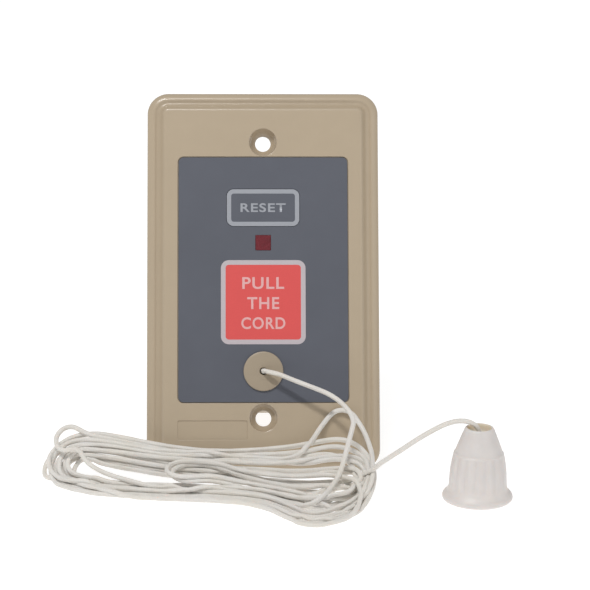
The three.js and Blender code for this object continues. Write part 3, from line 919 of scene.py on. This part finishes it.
def cutter(half, corner, levels, middle):
    return ring_mesh("cutter", stacked(half, corner, levels, middle))


# A screw hole and its bowl-shaped countersink, as radius and height in millimetres.
HOLE_PROFILE = [
    (2.35, 1),
    (2.35, 3.16),
    (2.45, 3.22),
    (3.1, 3.55),
    (3.6, 4.1),
    (3.92, 4.85),
    (4.1, 5.7),
    (4.18, 6.3),
    (4.24, 6.42),
    (4.36, 6.48),
    (4.7, 6.6),
]
BOARD_POSTS = (16.8, 29)
HOUSING_POSTS = (27, 28)


def hole_cutter(up):
    rings = turned_rings([(r * MM, z * MM) for r, z in HOLE_PROFILE], 64, (0, up))
    return ring_mesh("cutter", rings)


def post(x, y, radius, back, front):
    """A round post at x and y in metres. Its radius and its two heights are in millimetres."""
    rings = turned_rings([(radius * MM, back * MM), (radius * MM, front * MM)], 32, (x, y))
    return ring_mesh("post", rings)


def four(x, y):
    """The four places at that distance, in millimetres, from the plate's middle lines."""
    return [(-x * MM, -y * MM), (x * MM, -y * MM), (x * MM, y * MM), (-x * MM, y * MM)]


def plate_cuts():
    """What is cut out of the plate: the overlay's recess, the brand pad and every hole."""
    recess = [(-0.25 * MM, 5.9 * MM), (-0.25 * MM, 6.34 * MM), (-0.31 * MM, 6.43 * MM)]
    recess += [(-0.45 * MM, 6.5 * MM), (-0.85 * MM, 6.7 * MM)]
    pad = [(0, 6.2 * MM), (-0.05 * MM, 6.42 * MM), (-0.2 * MM, 6.5 * MM), (-0.6 * MM, 6.7 * MM)]
    through = [(0, 3 * MM), (0, 8 * MM)]
    cuts = [
        cutter(LABEL_HALF, LABEL_CORNER, recess, (0, 0)),
        cutter(PAD_HALF, 0.5 * MM, pad, PAD),
        cutter([h + 0.2 * MM for h in KEY_HALF], 2.4 * MM, through, (0, KEY_UP)),
        cutter([LENS_HALF + 0.1 * MM] * 2, 0.2 * MM, through, (0, LENS_UP)),
        post(0, BUSH_UP, 4.4, 3, 8),
        hole_cutter(HOLE_UP),
        hole_cutter(-HOLE_UP),
    ]
    cuts += [post(x, y, 1.2, -11, -1) for x, y in four(*BOARD_POSTS)]
    return cuts + [post(x, y, 0.95, 2, 5.1) for x, y in four(*HOUSING_POSTS)]


def make_plate():
    """The moulded plate: a hollow shell with posts behind it for the boards and the housing."""
    inside = [(6.0, 4.0), (5.3, 3.7), (4.6, 2.8), (2.6, 1.6), (2.2, 1.3), (2.2, 0)]
    levels = [(inset * MM, z * MM) for inset, z in inside + PLATE_EDGE]
    shell = ring_mesh("plate_shell", stacked(PLATE_HALF, PLATE_CORNER, levels, steps=14))
    plate = new_object("plate_shell", shell, "plate_plastic", PLATE)
    posts = [post(x, y, 2.5, -9.95, 4.5) for x, y in four(*BOARD_POSTS)]
    bosses = [post(x, y, 2.3, 2.65, 4.5) for x, y in four(*HOUSING_POSTS)]
    sinks = [post(0, up, 5.2, 2.2, 4.5) for up in (HOLE_UP, -HOLE_UP)]
    combine(plate, "UNION", posts + bosses + sinks)
    combine(plate, "DIFFERENCE", plate_cuts())
    in_slot(shade(plate), "station", "plate_plastic", "wall_plate")


def make_label():
    edge = [(0, 5.95 * MM), (0, 6.27 * MM), (0.03 * MM, 6.33 * MM), (0.1 * MM, LABEL_TOP)]
    sheet = ring_mesh("label_sheet", stacked(LABEL_HALF, LABEL_CORNER, edge))
    label = new_object("label_sheet", sheet, "label_film", PLATE)
    through = [(0, 4 * MM), (0, 6.33 * MM), (-0.02 * MM, 6.36 * MM), (-0.2 * MM, 6.6 * MM)]
    cuts = [
        cutter([h + 0.07 * MM for h in KEY_HALF], 2.27 * MM, through, (0, KEY_UP)),
        cutter([LENS_HALF + 0.06 * MM] * 2, 0.2 * MM, through, (0, LENS_UP)),
        post(0, BUSH_UP, 4.4, 4, 8),
    ]
    combine(label, "DIFFERENCE", cuts)
    in_slot(shade(label), "station", "label_film", "label_overlay")


HAIR = 1e-7  # keeps a corner a little under half the side, so that no two points meet


def make_key():
    """The reset key's cap, its flange behind the plate's wall and its stem."""
    shapes = [(2, 2, 2, -3.35), (2, 2, 2, 2.6), (12.5, 6.8, 2.2, 2.6), (12.5, 6.8, 2.2, 3.94)]
    shapes += [(11, 5.7, 2.2, 3.94), (11, 5.7, 2.2, 6.2), (10.96, 5.66, 2.16, 6.3)]
    shapes += [(10.91, 5.61, 2.11, 6.35)]
    rings = [
        corner_ring((w * MM, h * MM), r * MM - HAIR, z * MM, (0, KEY_UP), 12)
        for w, h, r, z in shapes
    ]
    key = new_object("reset_key_cap", ring_mesh("reset_key_cap", rings), "label_film", PLATE)
    in_slot(shade(key), "key", "label_film", "reset_key")


def make_lens():
    """The indicator's window, with its flange and light pipe."""
    shapes = [(1.9, 1.9, -4.25), (1.9, 1.9, 2.7), (3.2, 0.2, 2.7), (3.2, 0.2, 3.94)]
    shapes += [(2.3, 0.15, 3.94), (2.3, 0.15, 6.24), (2.25, 0.12, 6.32), (2.13, 0.1, 6.35)]
    rings = [
        corner_ring((w * MM, w * MM), r * MM - HAIR, z * MM, (0, LENS_UP), 8)
        for w, r, z in shapes
    ]
    window = ring_mesh("indicator_window", rings)
    lens = new_object("indicator_window", window, "lens_plastic", PLATE)
    in_slot(shade(lens), "station", "lens_plastic", "indicator_lens")


# Radius and height, in millimetres.
BUSH_PROFILE = [
    (2.6, 0),
    (4.1, 0),
    (4.1, 6.4),
    (5.85, 6.4),
    (5.95, 6.5),
    (5.95, 6.78),
    (5.88, 6.95),
    (5.7, 7.06),
    (5.45, 7.1),
    (1.45, 7.1),
    (1.24, 7.04),
    (1.12, 6.92),
    (1.06, 6.7),
    (1.06, 5.2),
    (2.6, 5.2),
]
PIP_PROFILE = [(0.13, 6.9), (0.13, 7.1), (0.1, 7.15), (0.04, 7.17)]
PIP_RINGS = [(14, 1.95), (18, 2.5)]  # how many pips there are, and how far out in millimetres


def make_bush():
    """The cord bush: a flanged disc with a rounded mouth and two rings of tiny pips round it."""
    rings = turned_rings([(r * MM, z * MM) for r, z in BUSH_PROFILE], 72, (0, BUSH_UP))
    disc = ring_mesh("cord_bush_disc", rings, loop=True)
    bush = new_object("cord_bush_disc", disc, "bush_plastic", PLATE)
    pips = []
    for ring, (count, radius) in enumerate(PIP_RINGS):
        for i in range(count):
            angle = 2 * math.pi * (i + 0.5 * ring) / count
            x, y = radius * MM * math.cos(angle), BUSH_UP + radius * MM * math.sin(angle)
            rings = turned_rings([(r * MM, z * MM) for r, z in PIP_PROFILE], 10, (x, y))
            pips.append(ring_mesh("pip", rings))
    combine(bush, "UNION", pips)
    in_slot(shade(bush), "station", "plate_plastic", "cord_bush")


# ---------------- print on the overlay


def printed_frame(name, half, corner, width, up, look, body):
    """A raised outline of that width, just inside a rounded rectangle."""
    low, high = LABEL_TOP - SUNK, LABEL_TOP + PRINT
    inner = [h - width for h in half]
    rings = [
        corner_ring(half, corner, low, (0, up)),
        corner_ring(half, corner, high, (0, up)),
        corner_ring(inner, max(corner - width, 0.5 * MM), high, (0, up)),
        corner_ring(inner, max(corner - width, 0.5 * MM), low, (0, up)),
    ]
    frame_piece = new_object(name, ring_mesh(name, rings, loop=True), look, PLATE)
    in_slot(shade(frame_piece), body, "label_film")


def printed_word(name, word, up, tall, wide, look, body, base=LABEL_TOP):
    """A word of that cap height and width, centred, as thin raised ink."""
    data = bpy.data.curves.new(name, "FONT")
    data.body = word
    data.size = 1.0
    data.offset = 0.02
    data.extrude = 0.5
    data.space_character = 1.12
    data.resolution_u = 6
    words = bpy.data.objects.new(name, data)
    bpy.context.scene.collection.objects.link(words)
    shown = words.evaluated_get(bpy.context.evaluated_depsgraph_get())
    mesh = bpy.data.meshes.new_from_object(shown)
    bpy.data.objects.remove(words)
    points = np.array([v.co for v in mesh.vertices])
    low, high = points.min(0), points.max(0)
    size = np.array([wide, tall, PRINT + SUNK])
    points = (points - (low + high) / 2) / (high - low) * size
    points += (0, up, base + (PRINT - SUNK) / 2)
    mesh.vertices.foreach_set("co", points.astype(np.float32).ravel())
    mesh.update()
    piece = new_object(name, mesh, look, PLATE)
    in_slot(shade(piece, weighted=False), body, "label_film")


SIGN_WORDS = [("PULL", 12.6), ("THE", 9.6), ("CORD", 13.2)]  # with their widths in millimetres
SIGN_FIRST_LINE = -1.2
SIGN_LINE_GAP = 6.05


def make_print():
    half = [h - 0.1 * MM for h in KEY_HALF]
    printed_frame("key_outline", half, 2.1 * MM, 1.3 * MM, KEY_UP, "silver_ink", "key")
    printed_word("key_word", "RESET", KEY_UP, 2.7 * MM, 13.6 * MM, "silver_ink", "key")
    sign = [SIGN_HALF] * 2
    printed_frame("sign_outline", sign, 2.4 * MM, 1.4 * MM, SIGN_UP, "lilac_ink", "station")
    field = [h - 1.38 * MM for h in sign]
    base = LABEL_TOP + 0.8 * PRINT
    levels = [(0, LABEL_TOP - SUNK), (0, base)]
    field_mesh = ring_mesh("sign_field", stacked(field, 1.1 * MM, levels, (0, SIGN_UP)))
    field_piece = new_object("sign_field", field_mesh, "red_ink", PLATE)
    in_slot(shade(field_piece), "station", "label_film")
    for i, (word, wide) in enumerate(SIGN_WORDS):
        name = f"sign_word_{i + 1}"
        up = SIGN_FIRST_LINE - SIGN_LINE_GAP * i
        printed_word(name, word, up * MM, 3.6 * MM, wide * MM, "pale_ink", "station", base)


# ---------------- the knob

# Radius and height, in millimetres, from the foot up the outside and down the inside.
BELL_OUTSIDE = [
    (8.6, 0),
    (9.25, 0.1),
    (9.8, 0.3),
    (10.14, 0.6),
    (10.3, 1),
    (10.26, 1.42),
    (10.04, 1.92),
    (9.62, 2.42),
    (9.18, 2.86),
    (8.82, 3.32),
    (8.58, 3.95),
    (8.47, 4.9),
    (8.4, 6.4),
    (8.32, 7.9),
    (8.2, 9.3),
    (8.03, 10.7),
    (7.82, 12),
    (7.58, 13.2),
    (7.42, 13.9),
    (7.28, 14.45),
    (6.92, 14.85),
    (6.55, 15.9),
    (6, 17.35),
    (5.35, 19.05),
    (4.8, 20.45),
    (4.36, 21.5),
    (4.08, 21.95),
    (3.8, 22.1),
]
BELL_INSIDE = [
    (3.58, 22.04),
    (3.44, 21.75),
    (3.32, 20.8),
    (3.25, 20),
    (2.8, 19.6),
    (1.25, 19.45),
    (1.25, 18.3),
    (4.4, 17.95),
    (5.9, 14.6),
    (6.55, 11.5),
    (6.8, 8.5),
    (6.95, 5.5),
    (7.6, 4.2),
    (8.3, 3.2),
    (8.7, 2.1),
    (8.45, 0.9),
    (8.25, 0.14),
    (8.37, 0),
]
FLUTES = 16
FLUTE_DEPTH = 0.32 * MM
FLUTE_ENDS = (3.7 * MM, 14.5 * MM)
BELL_SIDES = 144


def flute(z, angle):
    """How far a flute cuts in at that height and angle: none at either end of the skirt."""
    low, high = FLUTE_ENDS
    if not low < z < high:
        return 0.0
    rise = min(1.0, (z - low) / (1.8 * MM), (high - z) / (1.3 * MM))
    groove = (0.5 - 0.5 * math.cos(FLUTES * angle)) ** 1.6
    return FLUTE_DEPTH * groove * math.sin(rise * math.pi / 2)


def make_bell():
    """The fluted knob: hollow from its foot up to the floor that its knot bears on."""
    outside = np.array(BELL_OUTSIDE) * MM
    finer = smooth_line(np.column_stack([outside, np.zeros(len(outside))]), 3)[:, :2]
    rings = []
    for radius, z in list(finer) + [(r * MM, z * MM) for r, z in BELL_INSIDE]:
        ring = []
        for i in range(BELL_SIDES):
            angle = 2 * math.pi * i / BELL_SIDES
            r = radius - (flute(z, angle) if len(rings) < len(finer) else 0)
            ring.append((r * math.cos(angle), r * math.sin(angle), z))
        rings.append(ring)
    place = Matrix.Translation(BELL_FOOT) @ Matrix.Rotation(BELL_LEAN, 4, "Y")
    knob_mesh = ring_mesh("pull_knob", rings, loop=True)
    bell = new_object("pull_knob", knob_mesh, "bell_plastic", place)
    shade(bell, math.radians(50), weighted=False)
    return in_slot(bell, "bell", "bell_plastic", "pull_bell")


# ---------------- the spring

SPRING_RADIUS = 2.95 * MM
SPRING_WIRE = 0.38 * MM
SPRING_ENDS = (-14.55 * MM, -0.5 * MM)
SPRING_TURNS = 7
SPRING_STEPS = 36  # points in each turn
SPRING_SIDES = 10


def make_spring():
    """The return spring, which the plunger's collar squeezes towards the bush."""
    back, front = SPRING_ENDS
    points = []
    for i in range(SPRING_TURNS * SPRING_STEPS + 1):
        turn = i / SPRING_STEPS
        rise = back + (front - back) * turn / SPRING_TURNS
        angle = 2 * math.pi * turn
        x, y = SPRING_RADIUS * math.cos(angle), SPRING_RADIUS * math.sin(angle)
        points.append(on_plate(x, BUSH_UP + y, rise))
    line = np.array(points)
    radii = np.full((len(line), SPRING_SIDES), SPRING_WIRE)
    spring = tube("return_spring_wire", line, radii, SPRING_SIDES, "spring_steel")
    in_slot(shade(spring, weighted=False), "station", "spring_steel", "return_spring")
    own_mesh(spring)


# ---------------- the CAD's own pieces

SCREWS = " ".join(
    f"{kind}_screw_{i}" for kind in ("board", "housing", "terminal") for i in (1, 2, 3, 4)
)
# For each look, the nodes that have it and how many millimetres their edges are broken by.
FINISHES = {
    "housing_plastic": ("back_housing", 0.5),
    "brass": ("bush_nut board_spacer_1 board_spacer_2 board_spacer_3 board_spacer_4", 0.15),
    "plunger_plastic": ("pull_plunger microswitch_button reset_switch_button", 0.12),
    "black_plastic": (
        "plunger_barrel microswitch_body reset_switch_body board_connector"
        " smoothing_capacitor control_chip",
        0.15,
    ),
    "relay_plastic": ("latch_relay", 0.3),
    "lens_plastic": ("indicator_led", 0.05),
    "board_laminate": ("front_board rear_board", 0.1),
    "terminal_plastic": ("terminal_block", 0.2),
    "cord_braid": ("inner_cord inner_knot bell_knot", 0),
    "spring_steel": (SCREWS, 0.08),
}


def dress_cad():
    """Gives each CAD piece that stays its material and softly broken edges."""
    for look, (names, edge) in FINISHES.items():
        for name in names.split():
            piece = frame["nodes"][name]
            piece.data.materials.clear()
            piece.data.materials.append(LOOKS[look])
            piece.modifiers.new("weld", "WELD").merge_threshold = 0.001 * MM
            if edge:
                bevel = piece.modifiers.new("edges", "BEVEL")
                bevel.width = edge * MM
                bevel.segments = 2
                bevel.limit_method = "ANGLE"
                bevel.angle_limit = math.radians(40)
            shade(piece)


# ---------------- floor and light


def make_floor():
    """A white table that glows faintly, so that it hardly takes a shadow."""
    mesh = bpy.data.meshes.new("floor")
    far = 3.0
    corners = [(-far, -far, 0), (far, -far, 0), (far, far, 0), (-far, far, 0)]
    mesh.from_pydata(corners, [], [(0, 1, 2, 3)])
    look, tree, shader = new_look("floor", Roughness=0.9, Emission_Strength=0.82)
    shader.inputs["Emission Color"].default_value = (1, 1, 1, 1)
    broad = spread(tree, noise(tree, 0.3), 0, 1)
    tint = mix(tree, broad, (0.4, 0.4, 0.4, 1), (0.42, 0.42, 0.42, 1))
    wire(tree, shader, Base_Color=tint)
    mesh.materials.append(look)
    floor = bpy.data.objects.new("floor", mesh)
    bpy.context.scene.collection.objects.link(floor)


def area_light(name, place, size, watts):
    """A soft light that looks at the plate's middle."""
    data = bpy.data.lights.new(name, "AREA")
    data.shape = "RECTANGLE"
    data.size, data.size_y = size
    data.energy = watts
    light = bpy.data.objects.new(name, data)
    aim = MIDDLE - Vector(place)
    light.location = place
    light.rotation_mode = "QUATERNION"
    light.rotation_quaternion = aim.to_track_quat("-Z", "Y")
    bpy.context.scene.collection.objects.link(light)


def make_light():
    area_light("key_light", (-0.25, -0.45, 1.05), (0.5, 0.1), 6.2)
    area_light("fill_light", (0.8, -0.7, 0.35), (0.8, 0.8), 1.0)
    world = bpy.data.worlds.new("studio")
    world.use_nodes = True
    background = world.node_tree.nodes["Background"]
    background.inputs["Color"].default_value = (1, 1, 1, 1)
    background.inputs["Strength"].default_value = 0.4
    bpy.context.scene.world = world
    bpy.context.scene.view_settings.view_transform = "Standard"


make_camera()
knob = make_bell()
make_cord()
make_plate()
make_label()
make_key()
make_lens()
make_bush()
make_print()
make_spring()
dress_cad()
make_floor()
make_light()
